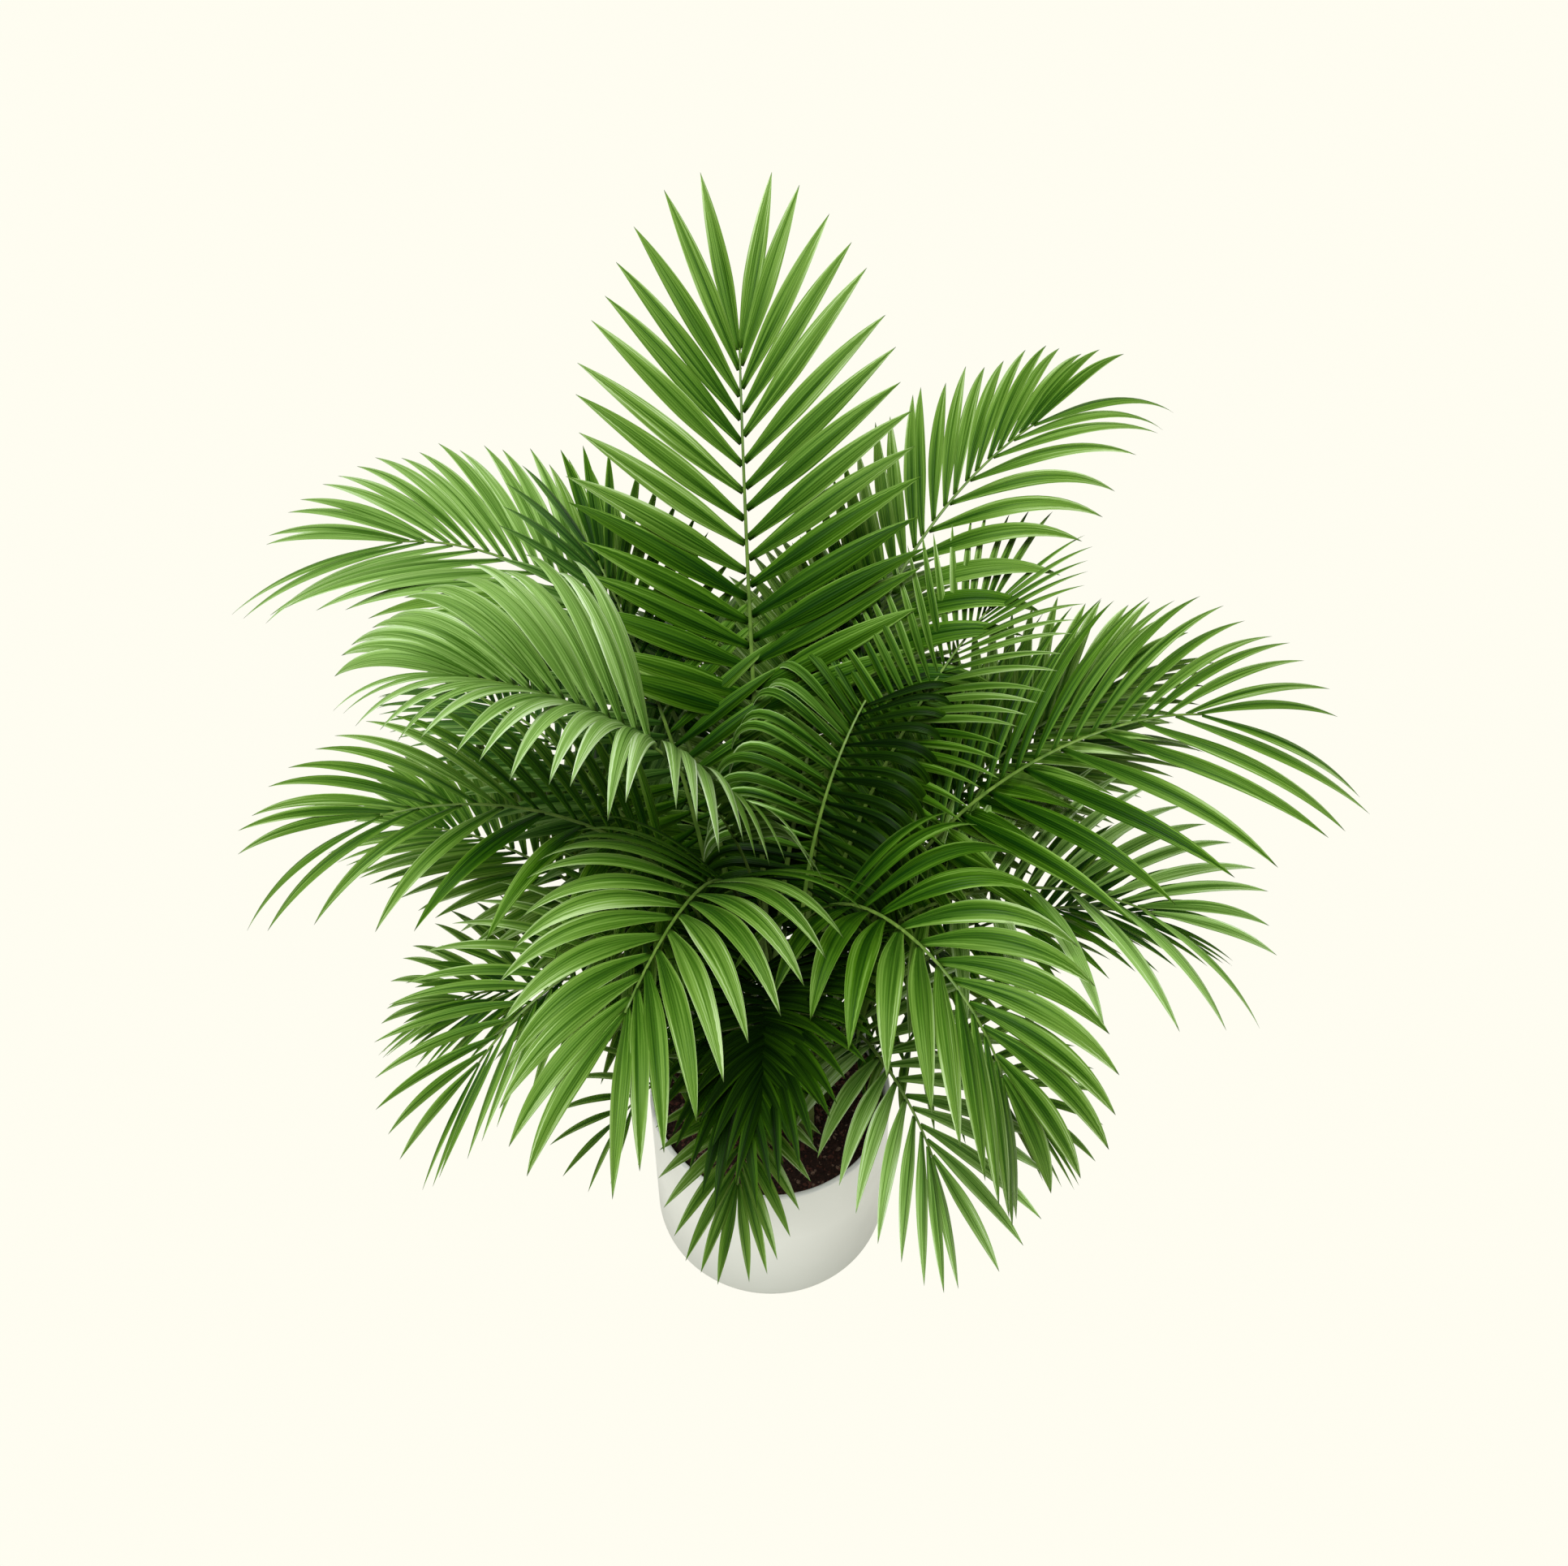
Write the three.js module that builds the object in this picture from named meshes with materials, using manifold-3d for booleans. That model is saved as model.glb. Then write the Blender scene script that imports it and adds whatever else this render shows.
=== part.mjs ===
// Potted areca palm: a clump of short canes in a plain white cylinder pot,
// with feather-shaped fronds that rise, arch over and hang on all sides.
// Millimetres, +Z up. The origin is the centre of the pot's flat underside,
// and the palm is seen from the front when looking along +Y.

import * as THREE from 'three';
import Module from 'manifold-3d';

const wasm = await Module();
wasm.setup();

// Driving dimensions
const clearance = 0.3;

const pot = {
  radius: 150,
  height: 280,
  wall: 7,
  floor: 9,
  footRound: 22,
  rimRound: 2.5,
  roundSteps: 4,
  sides: 40,
};

const soil = {
  top: 258,
  crown: 6,
  sides: 32,
};

const cane = {
  footRadius: 11.5,
  topRadius: 9,
  sides: 10,
};

const petiole = {
  footWidth: 9,
  footHeight: 6,
  tipWidth: 2.8,
  tipHeight: 2.2,
  steps: 6,
};

const leaflet = {
  spacing: 30,
  width: 25,
  ridge: 2.5,
  rootShare: 0.2,
  crowding: 1.08,
  shoulder: 0.36,
  waist: 0.72,
  waistWidth: 0.7,
  tipNarrowing: 0.35,
  pathSteps: 18,
  lean: 14,
  gap: 0.45,
};

// Where each cane stands on the soil and how high it grows
const canes = [
  { name: 'cane_back', x: 0, y: 48, top: 425 },
  { name: 'cane_back_right', x: 44, y: 40, top: 425 },
  { name: 'cane_back_left', x: -44, y: 46, top: 470 },
  { name: 'cane_middle_left', x: -24, y: 2, top: 430 },
  { name: 'cane_left', x: -58, y: -8, top: 395 },
  { name: 'cane_front_left', x: -42, y: -42, top: 370 },
  { name: 'cane_middle_right', x: 26, y: -6, top: 430 },
  { name: 'cane_right', x: 64, y: 6, top: 405 },
  { name: 'cane_front_right', x: 44, y: -46, top: 375 },
  { name: 'cane_front', x: -8, y: -56, top: 335 },
];

// One entry for each frond. towards is the compass direction that it grows in,
// 0 to the right and 90 to the back, and swing is how far that turns by its
// tip. lift is the angle above level at the foot and fall is how far it has
// bent down by the tip. bare is the share of its length that has no leaflets.
// drop sets the foot beside the cane, that far below its top; a frond with
// no drop stands on the cane's top. stand is the side of the cane that it
// grows on, where that differs from its direction. leaf is the length of its
// longest leaflets. raise tilts them up, droop hangs them over and curl turns
// them towards the tip. wide is the angle between the midrib and its first
// leaflets, which opening spreads further, and narrow that of its last ones;
// closing is how late they close. tapering shortens the leaflets at the tip,
// and oneSided is the share of the leafy part that has none on its right side.
// Angles are in degrees.
const fronds = [
  {
    name: 'frond_top', cane: 'cane_back', towards: 98, swing: -6, lift: 74, fall: 36,
    bend: 1.5, length: 795, leaf: 216, bare: 0.49, raise: 14, droop: 0.5, wide: 62, closing: 4,
    opening: 4,
  },
  {
    name: 'frond_front_left', cane: 'cane_middle_left', towards: 256, swing: -6, lift: 91,
    fall: 98, bend: 1.9, length: 715, leaf: 200, bare: 0.53, raise: 25, droop: 1.7, wide: 51,
    narrow: 18, curl: 0.3,
  },
  {
    name: 'frond_front_right', cane: 'cane_middle_right', towards: 317, swing: -13, lift: 91,
    fall: 152, bend: 2.1, length: 668, leaf: 205, bare: 0.53, raise: 28, droop: 1.8, wide: 50,
    curl: 0.4,
  },
  {
    name: 'frond_left_arch', cane: 'cane_middle_right', drop: 25, towards: 206, swing: -19,
    lift: 87, fall: 69, bend: 2.6, length: 848, leaf: 228, bare: 0.52, raise: 41, droop: 1.65,
    wide: 50, narrow: 14, opening: -8, curl: 0.2, tapering: 0.4, oneSided: 0.45,
  },
  {
    name: 'frond_centre_arch', cane: 'cane_middle_right', drop: 25, towards: 78, swing: -18,
    lift: 86, fall: 60, bend: 2.2, length: 505, leaf: 130, bare: 0.48, raise: 30, droop: 2.4,
    wide: 72, narrow: 24, opening: 0, curl: 0,
  },
  {
    name: 'frond_right_upper', cane: 'cane_back_right', towards: 92, swing: -55, lift: 77,
    fall: 71, bend: 1.4, length: 795, leaf: 198, bare: 0.54, raise: 20, droop: 0.9, wide: 46,
    opening: 3, curl: 0.35,
  },
  {
    name: 'frond_left_upper', cane: 'cane_back_left', towards: 89, swing: 80, lift: 80,
    fall: 96, bend: 1, length: 755, leaf: 255, bare: 0.58, raise: 14, droop: 1, wide: 42,
    opening: 0, curl: 0.45,
  },
  {
    name: 'frond_right', cane: 'cane_right', towards: 15, swing: -2, lift: 77, fall: 92,
    bend: 2.4, length: 705, leaf: 245, bare: 0.52, raise: 5, droop: 1.0, wide: 53, opening: 0,
    curl: 0.75,
  },
  {
    name: 'frond_left', cane: 'cane_left', towards: 179, swing: 11, lift: 92, fall: 108,
    bend: 1.9, length: 715, leaf: 205, bare: 0.51, raise: 20, droop: 1.1, wide: 46, opening: 0,
    curl: 0.4,
  },
  {
    name: 'frond_left_lower', cane: 'cane_front_left', towards: 218, swing: 4, lift: 97,
    fall: 140, bend: 1.9, length: 685, leaf: 168, bare: 0.5, droop: 0.8, wide: 56, opening: 5,
    curl: 0.35,
  },
  {
    name: 'frond_right_lower', cane: 'cane_right', drop: 15, stand: 322, towards: 351,
    swing: -4, lift: 87, fall: 111, bend: 1.8, length: 605, leaf: 190, bare: 0.49, droop: 0.9,
    wide: 58, opening: 8,
  },
  {
    name: 'frond_pot_right', cane: 'cane_front_right', towards: 302, swing: -5, lift: 91,
    fall: 133, bend: 1.7, length: 475, leaf: 170, bare: 0.44,
  },
  {
    name: 'frond_pot_front', cane: 'cane_front', towards: 260, swing: 5, lift: 92, fall: 134,
    bend: 1.7, length: 385, leaf: 127, bare: 0.4, droop: 0.4, wide: 60,
  },
  {
    name: 'frond_right_shoulder', cane: 'cane_back_right', drop: 20, stand: 45, towards: 45,
    lift: 86, fall: 62, length: 680, leaf: 180, bare: 0.46, droop: 0.8,
  },
  {
    name: 'frond_left_shoulder', cane: 'cane_back_left', drop: 70, towards: 120, lift: 84,
    fall: 56, length: 660, leaf: 180, bare: 0.44,
  },
  {
    name: 'frond_right_back', cane: 'cane_right', drop: 30, stand: 60, towards: 28, lift: 84,
    fall: 76, length: 660, leaf: 190, bare: 0.42, droop: 0.8,
  },
  {
    name: 'frond_front_inner', cane: 'cane_middle_right', drop: 40, stand: 250, towards: 266,
    lift: 88, fall: 78, length: 540, leaf: 155, bare: 0.45, raise: 35, droop: 0.9,
  },
  {
    name: 'frond_centre_low', cane: 'cane_middle_left', drop: 50, stand: 300, towards: 268,
    lift: 88, fall: 84, length: 560, leaf: 150, bare: 0.44, raise: 35, droop: 0.9,
  },
  {
    name: 'frond_left_inner', cane: 'cane_left', drop: 25, towards: 194, lift: 86, fall: 118,
    length: 470, leaf: 160, bare: 0.42, droop: 0.9,
  },
  {
    name: 'frond_right_front_low', cane: 'cane_front_right', drop: 20, towards: 330, lift: 84,
    fall: 122, length: 490, leaf: 165, bare: 0.42, droop: 0.9,
  },
  {
    name: 'frond_right_inner', cane: 'cane_right', drop: 55, stand: 5, towards: 0, lift: 82,
    fall: 104, length: 600, leaf: 175, bare: 0.42, droop: 0.9,
  },
  {
    name: 'frond_left_front_low', cane: 'cane_front_left', drop: 20, towards: 228, lift: 88,
    fall: 110, length: 360, leaf: 140, bare: 0.42, droop: 0.9,
  },
  {
    name: 'frond_back_right', cane: 'cane_back', drop: 25, towards: 74, lift: 80, fall: 104,
    length: 580, leaf: 190, bare: 0.4, droop: 0.9,
  },
  {
    name: 'frond_back', cane: 'cane_back', drop: 45, towards: 104, lift: 78, fall: 110,
    length: 540, leaf: 180, bare: 0.4, droop: 0.9,
  },
  {
    name: 'frond_back_left', cane: 'cane_back_left', drop: 95, stand: 175, towards: 140,
    lift: 80, fall: 104, length: 580, leaf: 180, bare: 0.4, droop: 0.9,
  },
  {
    name: 'frond_left_back_low', cane: 'cane_left', drop: 50, towards: 156, lift: 80,
    fall: 108, length: 540, leaf: 175, bare: 0.4, droop: 0.9,
  },
  {
    name: 'frond_right_back_low', cane: 'cane_back_right', drop: 45, stand: 10, towards: 30,
    lift: 80, fall: 104, length: 570, leaf: 180, bare: 0.4, droop: 0.9,
  },
  {
    name: 'frond_back_low', cane: 'cane_back', drop: 95, stand: 60, towards: 80, lift: 74,
    fall: 112, length: 410, leaf: 150, bare: 0.4, droop: 0.9,
  },
  {
    name: 'frond_back_left_low', cane: 'cane_back_left', drop: 140, stand: 130, towards: 125,
    lift: 74, fall: 108, length: 420, leaf: 150, bare: 0.4, droop: 0.9,
  },
  {
    name: 'frond_right_side_low', cane: 'cane_right', drop: 90, stand: 24, towards: 20,
    lift: 74, fall: 112, length: 430, leaf: 150, bare: 0.4, droop: 0.9,
  },
  {
    name: 'frond_left_side_low', cane: 'cane_left', drop: 80, towards: 180, lift: 74,
    fall: 110, length: 410, leaf: 150, bare: 0.4, droop: 0.9,
  },
];

const usualFrond = {
  swing: 0, bend: 1.6, raise: 25, droop: 0.7, wide: 66, narrow: 11, closing: 5, opening: 16, curl: 0.25,
  tapering: 0, oneSided: 0,
};

const potWhite = new THREE.MeshStandardMaterial({ color: 0xe4e5e0, roughness: 0.32, metalness: 0 });
const soilBrown = new THREE.MeshStandardMaterial({ color: 0x3c251f, roughness: 0.95, metalness: 0 });
const caneGreen = new THREE.MeshStandardMaterial({ color: 0x7c8f4a, roughness: 0.6, metalness: 0 });
const frondGreen = new THREE.MeshStandardMaterial({ color: 0x4d8a34, roughness: 0.5, metalness: 0 });

const down = new THREE.Vector3(0, 0, -1);
const radians = THREE.MathUtils.degToRad;

// Direction with a compass bearing and an angle above level, both in radians
function direction(bearing, rise) {
  const level = Math.cos(rise);
  return new THREE.Vector3(level * Math.cos(bearing), level * Math.sin(bearing), Math.sin(rise));
}

// Quarter turn about a corner, from one angle to the next
function cornerArc(x, y, radius, from, steps) {
  const points = [];
  for (let i = 0; i <= steps; i += 1) {
    const angle = from + (i / steps) * (Math.PI / 2);
    points.push(new THREE.Vector2(x + radius * Math.cos(angle), y + radius * Math.sin(angle)));
  }
  return points;
}

function lathe(profile, sides) {
  const shape = new THREE.LatheGeometry(profile, sides);
  shape.rotateX(Math.PI / 2);
  return shape;
}

// Pot: a thrown cylinder with a rounded foot, a soft rim and a flat underside
function potGeometry() {
  const inner = pot.radius - pot.wall;
  const foot = pot.footRound;
  const lip = pot.rimRound;
  const rim = pot.height - lip;
  const profile = [
    new THREE.Vector2(0, 0),
    ...cornerArc(pot.radius - foot, foot, foot, -Math.PI / 2, pot.roundSteps),
    ...cornerArc(pot.radius - lip, rim, lip, 0, 2),
    ...cornerArc(inner + lip, rim, lip, Math.PI / 2, 2),
    new THREE.Vector2(inner, pot.floor),
    new THREE.Vector2(0, pot.floor),
  ];
  return lathe(profile, pot.sides);
}

// Soil: the root ball that fills the pot, slightly domed on top
function soilGeometry() {
  const radius = (pot.radius - pot.wall) * Math.cos(Math.PI / pot.sides) - clearance;
  const profile = [
    new THREE.Vector2(0, pot.floor + clearance),
    new THREE.Vector2(radius, pot.floor + clearance),
    new THREE.Vector2(radius, soil.top - soil.crown),
    new THREE.Vector2(radius * 0.6, soil.top - 1),
    new THREE.Vector2(0, soil.top),
  ];
  return lathe(profile, soil.sides);
}

function caneGeometry(spec) {
  const foot = soil.top + clearance;
  const height = spec.top - foot;
  const shape = new THREE.CylinderGeometry(cane.topRadius, cane.footRadius, height, cane.sides);
  shape.rotateX(Math.PI / 2);
  shape.translate(spec.x, spec.y, foot + height / 2);
  return shape;
}

// Closed geometry as a solid, with only its positions kept and shared
function solidOf(geometry) {
  const places = new Map();
  const points = [];
  const position = geometry.getAttribute('position');
  const numberOf = (i) => {
    const place = [position.getX(i), position.getY(i), position.getZ(i)];
    const key = place.map((value) => Math.round(value * 1000)).join();
    if (!places.has(key)) {
      places.set(key, points.length / 3);
      points.push(...place);
    }
    return places.get(key);
  };
  const corners = [];
  const index = geometry.getIndex();
  for (let i = 0; i < index.count; i += 3) {
    const face = [0, 1, 2].map((corner) => numberOf(index.getX(i + corner)));
    if (new Set(face).size === 3) corners.push(...face);
  }
  const mesh = new wasm.Mesh({
    numProp: 3,
    vertProperties: new Float32Array(points),
    triVerts: new Uint32Array(corners),
  });
  return new wasm.Manifold(mesh);
}

// Where a frond's foot stands: on its cane's top, or beside it
function footOf(frond) {
  const stem = canes.find((entry) => entry.name === frond.cane);
  if (frond.drop === undefined) {
    return new THREE.Vector3(stem.x, stem.y, stem.top + clearance);
  }
  const bearing = radians(frond.stand ?? frond.towards + frond.swing / 2);
  const outward = direction(bearing, 0);
  const fromTop = frond.drop / (stem.top - soil.top);
  const radius = THREE.MathUtils.lerp(cane.topRadius, cane.footRadius, fromTop);
  const { right, up } = headingAt(frond, 0);
  const depth = Math.max(
    -petiole.footHeight * up.dot(outward),
    (petiole.footWidth / 2) * Math.abs(right.dot(outward)),
  );
  const reach = radius + clearance + depth;
  return new THREE.Vector3(stem.x, stem.y, stem.top - frond.drop).addScaledVector(outward, reach);
}

// The frond's heading at a share s of its length: forward, right and up
function headingAt(frond, s) {
  const bearing = radians(frond.towards + frond.swing * s);
  const rise = radians(frond.lift - frond.fall * s ** frond.bend);
  const forward = direction(bearing, rise);
  const right = new THREE.Vector3(Math.sin(bearing), -Math.cos(bearing), 0);
  const up = new THREE.Vector3().crossVectors(right, forward);
  return { forward, right, up };
}

// Points along the frond's midrib
function midribOf(frond) {
  const steps = 48;
  const points = [footOf(frond)];
  for (let i = 0; i < steps; i += 1) {
    const { forward } = headingAt(frond, (i + 0.5) / steps);
    points.push(points[i].clone().addScaledVector(forward, frond.length / steps));
  }
  return (s) => {
    const place = Math.min(Math.max(s, 0), 1) * steps;
    const low = Math.min(Math.floor(place), steps - 1);
    return points[low].clone().lerp(points[low + 1], place - low);
  };
}

// Longer blades carry more pairs of leaflets
function pairsOf(frond) {
  return Math.round((frond.length * (1 - frond.bare)) / leaflet.spacing);
}

// Share of the frond's length at which a leaflet grows: they crowd at the tip
function placeAlong(frond, t) {
  return frond.bare + (1 - frond.bare) * (1 - (1 - t) ** leaflet.crowding);
}

// Leaflets are a little longer in the middle of the leafy part
function leafLengthAt(frond, t) {
  const even = 0.75 + 0.25 * Math.sin(Math.PI * (0.15 + 0.6 * t)) - 0.05 * t;
  return even * (1 - frond.tapering * t ** 3);
}

// Angle between a leaflet and the midrib: widest at the frond's foot, closing
// evenly along it and then quickly at the tip
function leafAngleAt(frond, t) {
  const even = frond.wide - leaflet.lean * t;
  const atTip = (frond.wide - leaflet.lean - frond.narrow) * t ** frond.closing;
  return even - atTip + frond.opening * (1 - t) ** 3;
}

// Rings of a leaflet from its root outwards: it leaves the midrib at an angle
// that closes towards the tip, rises a little and then hangs over. Its blade
// lies in the plane of its root and the midrib, and bends over with it.
function leafletRings(frond, midrib, t, side, turn, stretch) {
  const s = placeAlong(frond, t);
  const { forward, right, up } = headingAt(frond, s);
  const spread = radians(leafAngleAt(frond, t));
  const raise = radians(frond.raise + turn);
  const start = forward.clone().multiplyScalar(Math.cos(spread));
  start.addScaledVector(right, side * Math.sin(spread) * Math.cos(raise));
  start.addScaledVector(up, Math.sin(spread) * Math.sin(raise));
  const rootAcross = forward.clone().addScaledVector(start, -forward.dot(start)).normalize();
  const length = frond.leaf * leafLengthAt(frond, t) * stretch;
  const width = leaflet.width * (1 - leaflet.tipNarrowing * t) * Math.min(1, frond.leaf / 190);
  const stations = [
    { at: leaflet.shoulder, width, ridge: leaflet.ridge },
    { at: leaflet.waist, width: width * leaflet.waistWidth, ridge: leaflet.ridge * 0.8 },
    { at: 1 },
  ];
  const rings = [];
  const point = midrib(s);
  for (let i = 0; i < leaflet.pathSteps; i += 1) {
    const u = (i + 0.5) / leaflet.pathSteps;
    const step = start.clone().addScaledVector(down, frond.droop * u ** 1.8);
    step.addScaledVector(forward, frond.curl * u).normalize();
    point.addScaledVector(step, length / leaflet.pathSteps);
    const reached = stations.find((entry) => Math.round(entry.at * leaflet.pathSteps) === i + 1);
    if (!reached) continue;
    if (!reached.width) {
      rings.push([point.clone()]);
      continue;
    }
    const bend = new THREE.Quaternion().setFromUnitVectors(start, step);
    const across = rootAcross.clone().applyQuaternion(bend);
    const above = new THREE.Vector3().crossVectors(step, across).multiplyScalar(side);
    rings.push([
      point.clone().addScaledVector(across, -reached.width / 2),
      point.clone().addScaledVector(across, reached.width / 2),
      point.clone().addScaledVector(above, reached.ridge),
    ]);
  }
  return rings;
}

// Midrib sections: a right edge, a top ridge and a left edge at each station
function midribSections(frond, midrib) {
  const stations = [];
  for (let i = 0; i < petiole.steps; i += 1) {
    stations.push((frond.bare * i) / petiole.steps);
  }
  const pairs = pairsOf(frond);
  const half = (leaflet.rootShare * (1 - frond.bare)) / (pairs - 1) / 2;
  for (let i = 0; i < pairs; i += 1) {
    const s = placeAlong(frond, i / (pairs - 1));
    const last = i === pairs - 1;
    stations.push(last ? s - 2 * half : s - half, last ? s : s + half);
  }
  return stations.map((s) => {
    const { right, up } = headingAt(frond, s);
    const width = THREE.MathUtils.lerp(petiole.footWidth, petiole.tipWidth, s);
    const height = THREE.MathUtils.lerp(petiole.footHeight, petiole.tipHeight, s);
    const centre = midrib(s);
    const ridge = centre.clone().addScaledVector(up, height);
    if (s === 0) ridge.z = centre.z;
    return [
      centre.clone().addScaledVector(right, width / 2),
      ridge,
      centre.clone().addScaledVector(right, -width / 2),
    ];
  });
}

function geometryFrom(points, faces) {
  const shape = new THREE.BufferGeometry();
  const places = points.flatMap((point) => point.toArray());
  shape.setAttribute('position', new THREE.Float32BufferAttribute(places, 3));
  shape.setIndex(faces.flat());
  return shape;
}

// Closes the sides between two loops of three, seen from outside
function skirt(faces, loop, next) {
  for (let i = 0; i < 3; i += 1) {
    const a = loop[i];
    const b = loop[(i + 1) % 3];
    if (next.length === 1) {
      faces.push([a, b, next[0]]);
    } else {
      faces.push([a, b, next[(i + 1) % 3]], [a, next[(i + 1) % 3], next[i]]);
    }
  }
}

// The three midrib corners that a leaflet's root grows from: rear, front, ridge
function rootLoop(pair, side) {
  const rear = 3 * (petiole.steps + 2 * pair);
  const front = rear + 3;
  return side > 0 ? [rear, front, front + 1] : [rear + 2, front + 2, front + 1];
}

// Adds a leaflet on its root loop, turned the other way on the left
function addLeaflet(points, faces, root, rings, side) {
  let loop = side > 0 ? root : [root[2], root[1], root[0]];
  for (const ring of rings) {
    const first = points.length;
    points.push(...ring);
    let next = ring.map((_, i) => first + i);
    if (next.length === 3 && side < 0) next = [next[2], next[1], next[0]];
    skirt(faces, loop, next);
    loop = next;
  }
}

// A leaflet by itself, to test what it would touch
function leafletSolid(sections, root, rings, side) {
  const points = root.map((corner) => sections[Math.floor(corner / 3)][corner % 3]);
  const loop = side > 0 ? [0, 1, 2] : [2, 1, 0];
  const faces = [[loop[2], loop[1], loop[0]]];
  addLeaflet(points, faces, [0, 1, 2], rings, side);
  return solidOf(geometryFrom(points, faces));
}

function midribFaces(sections, leafy) {
  const faces = [[0, 1, 2]];
  for (let i = 0; i + 1 < sections.length; i += 1) {
    const [right, top, left] = [3 * i, 3 * i + 1, 3 * i + 2];
    const [nextRight, nextTop, nextLeft] = [right + 3, top + 3, left + 3];
    const pair = (i - petiole.steps) / 2;
    if (!leafy.has(`${pair},1`)) faces.push([right, nextRight, nextTop]);
    faces.push([right, nextTop, top]);
    if (!leafy.has(`${pair},-1`)) faces.push([nextTop, nextLeft, left]);
    faces.push([top, nextTop, left]);
    faces.push([left, nextLeft, nextRight], [left, nextRight, right]);
  }
  const end = 3 * (sections.length - 1);
  faces.push([end, end + 2, end + 1]);
  return faces;
}

// Solids already placed, each with its box, for the clearance tests
const placed = [];

function boxOf(solid) {
  const { min, max } = solid.boundingBox();
  return new THREE.Box3(new THREE.Vector3(...min), new THREE.Vector3(...max));
}

function touches(solid, box, ownPair) {
  return placed.some((other) => {
    if (other.ownPair === ownPair || !other.box.intersectsBox(box)) return false;
    return solid.minGap(other.solid, 2 * leaflet.gap) < leaflet.gap;
  });
}

// Ways to turn a leaflet up or down, or shorten it, until it hangs clear
const leafletTries = [1, 0.85, 0.68].flatMap((stretch) => (
  [0, 9, -9, 18, -18, 28, -28].map((turn) => ({ turn, stretch }))
));

function placeLeaflet(frond, midrib, sections, pair, side) {
  const t = pair / (pairsOf(frond) - 1);
  const root = rootLoop(pair, side);
  const ownPair = `${frond.name},${pair}`;
  for (const { turn, stretch } of leafletTries) {
    const rings = leafletRings(frond, midrib, t, side, turn, stretch);
    const solid = leafletSolid(sections, root, rings, side);
    const box = boxOf(solid);
    const near = box.clone().expandByScalar(leaflet.gap);
    if (!touches(solid, near, ownPair)) {
      placed.push({ solid, box, ownPair });
      return { root, rings, side, key: `${pair},${side}` };
    }
    solid.delete();
  }
  return null;
}

const palm = new THREE.Group();

function addMesh(name, geometry, material) {
  const mesh = new THREE.Mesh(geometry, material);
  mesh.name = name;
  palm.add(mesh);
  const solid = solidOf(geometry);
  placed.push({ solid, box: boxOf(solid), ownPair: null });
}

addMesh('pot', potGeometry(), potWhite);
addMesh('soil', soilGeometry(), soilBrown);
for (const spec of canes) {
  addMesh(spec.name, caneGeometry(spec), caneGreen);
}

// All midribs stand before the first leaflet, so every leaflet clears them
const grown = fronds.map((entry) => {
  const frond = { ...usualFrond, ...entry };
  const midrib = midribOf(frond);
  const sections = midribSections(frond, midrib);
  const solid = solidOf(geometryFrom(sections.flat(), midribFaces(sections, new Set())));
  const own = { solid, box: boxOf(solid), ownPair: null };
  placed.push(own);
  return { frond, midrib, sections, own };
});

for (const { frond, midrib, sections, own } of grown) {
  const leaves = [];
  for (let pair = 0; pair < pairsOf(frond); pair += 1) {
    own.ownPair = `${frond.name},${pair}`;
    for (const side of [1, -1]) {
      if (side > 0 && pair < frond.oneSided * (pairsOf(frond) - 1)) continue;
      const leaf = placeLeaflet(frond, midrib, sections, pair, side);
      if (leaf) leaves.push(leaf);
    }
  }
  own.ownPair = null;
  const points = sections.flat();
  const faces = midribFaces(sections, new Set(leaves.map((leaf) => leaf.key)));
  for (const leaf of leaves) {
    addLeaflet(points, faces, leaf.root, leaf.rings, leaf.side);
  }
  const mesh = new THREE.Mesh(geometryFrom(points, faces), frondGreen);
  mesh.name = frond.name;
  palm.add(mesh);
}

export default palm;
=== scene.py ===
import math
import random

import bmesh
import bpy
import numpy as np
from mathutils import Matrix, Vector, noise


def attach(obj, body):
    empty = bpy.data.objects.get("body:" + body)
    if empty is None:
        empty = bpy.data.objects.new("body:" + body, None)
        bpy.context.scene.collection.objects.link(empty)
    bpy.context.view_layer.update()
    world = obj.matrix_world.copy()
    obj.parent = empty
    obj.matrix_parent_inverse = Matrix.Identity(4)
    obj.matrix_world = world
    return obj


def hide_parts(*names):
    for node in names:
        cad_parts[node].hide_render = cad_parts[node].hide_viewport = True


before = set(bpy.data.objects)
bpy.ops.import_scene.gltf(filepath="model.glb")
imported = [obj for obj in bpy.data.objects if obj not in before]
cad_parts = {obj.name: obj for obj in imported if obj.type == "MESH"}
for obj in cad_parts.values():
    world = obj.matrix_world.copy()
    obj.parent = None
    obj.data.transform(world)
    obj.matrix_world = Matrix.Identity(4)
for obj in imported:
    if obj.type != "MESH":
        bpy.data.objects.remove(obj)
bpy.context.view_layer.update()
print("frame loaded with", len(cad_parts), "nodes")

mm = 0.001
down = Vector((0, 0, -1))


# small helpers

def fromDegrees(*angles):
    return [math.radians(angle) for angle in angles]


def blendOf(a, b, share):
    return a + (b - a) * share


def smoothStep(low, high, value):
    share = min(max((value - low) / (high - low), 0), 1)
    return share * share * (3 - 2 * share)


def addPiece(name, mesh, materials, replaced=()):
    piece = bpy.data.objects.new(name, mesh)
    bpy.context.scene.collection.objects.link(piece)
    for material in materials:
        mesh.materials.append(material)
    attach(piece, "root")
    if replaced:
        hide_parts(*replaced)
    return piece


def meshFromBmesh(name, bm, smooth=True):
    mesh = bpy.data.meshes.new(name)
    for face in bm.faces:
        face.smooth = smooth
    bm.to_mesh(mesh)
    bm.free()
    return mesh


# camera: looks down on the palm at the photo's angle

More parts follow.
